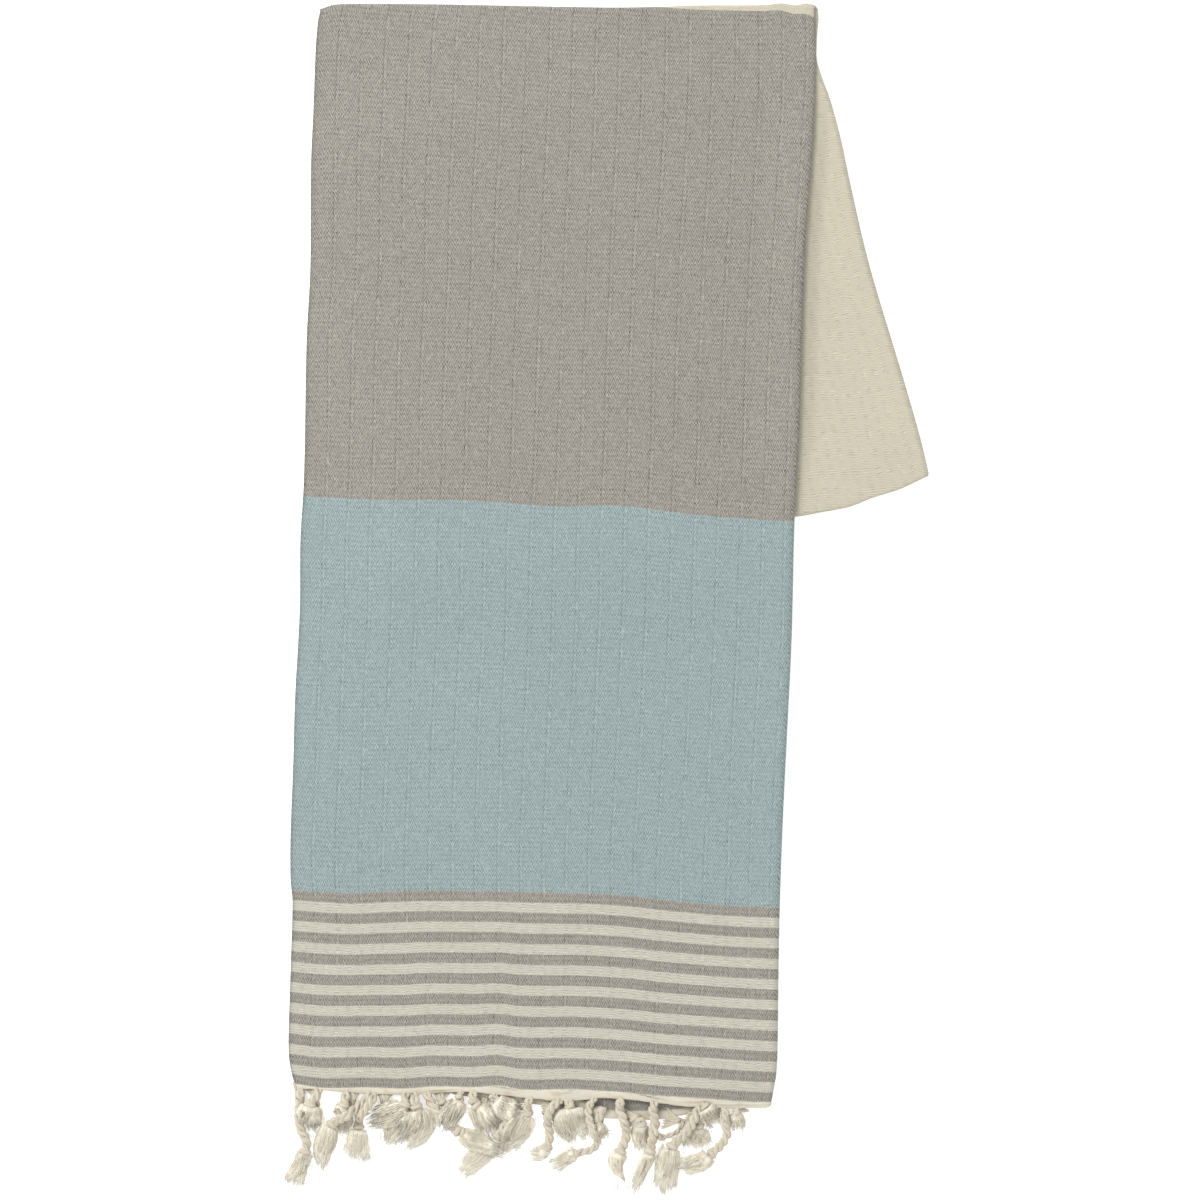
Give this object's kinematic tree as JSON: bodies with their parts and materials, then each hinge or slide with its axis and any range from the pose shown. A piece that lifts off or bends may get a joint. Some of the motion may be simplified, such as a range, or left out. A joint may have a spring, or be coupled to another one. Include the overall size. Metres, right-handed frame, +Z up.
{
  "type": "hammam towel",
  "caption": "Long flat-woven cotton towel, folded lengthwise and laid over itself on a surface, with a striped end and twisted, knotted tassels along its hems.",
  "frame": {"origin": "on the surface that the towel lies on, under the middle of the whole towel's outline", "axes": "+Z up from the surface, +Y from the near tassels to the top fold, +X towards the lengthwise fold and the flap that stands out there"},
  "size_m": [0.5748, 1.0722, 0.0188],
  "materials": {
    "cloth": "matte flat-woven cotton, taupe, grey-blue and cream bands",
    "fringe": "matte cream cotton yarn, twisted and knotted"
  },
  "bodies": {
    "root": {"cloth": "cloth", "fringe_front": "fringe", "fringe_far": "fringe"}
  },
  "joints": []
}
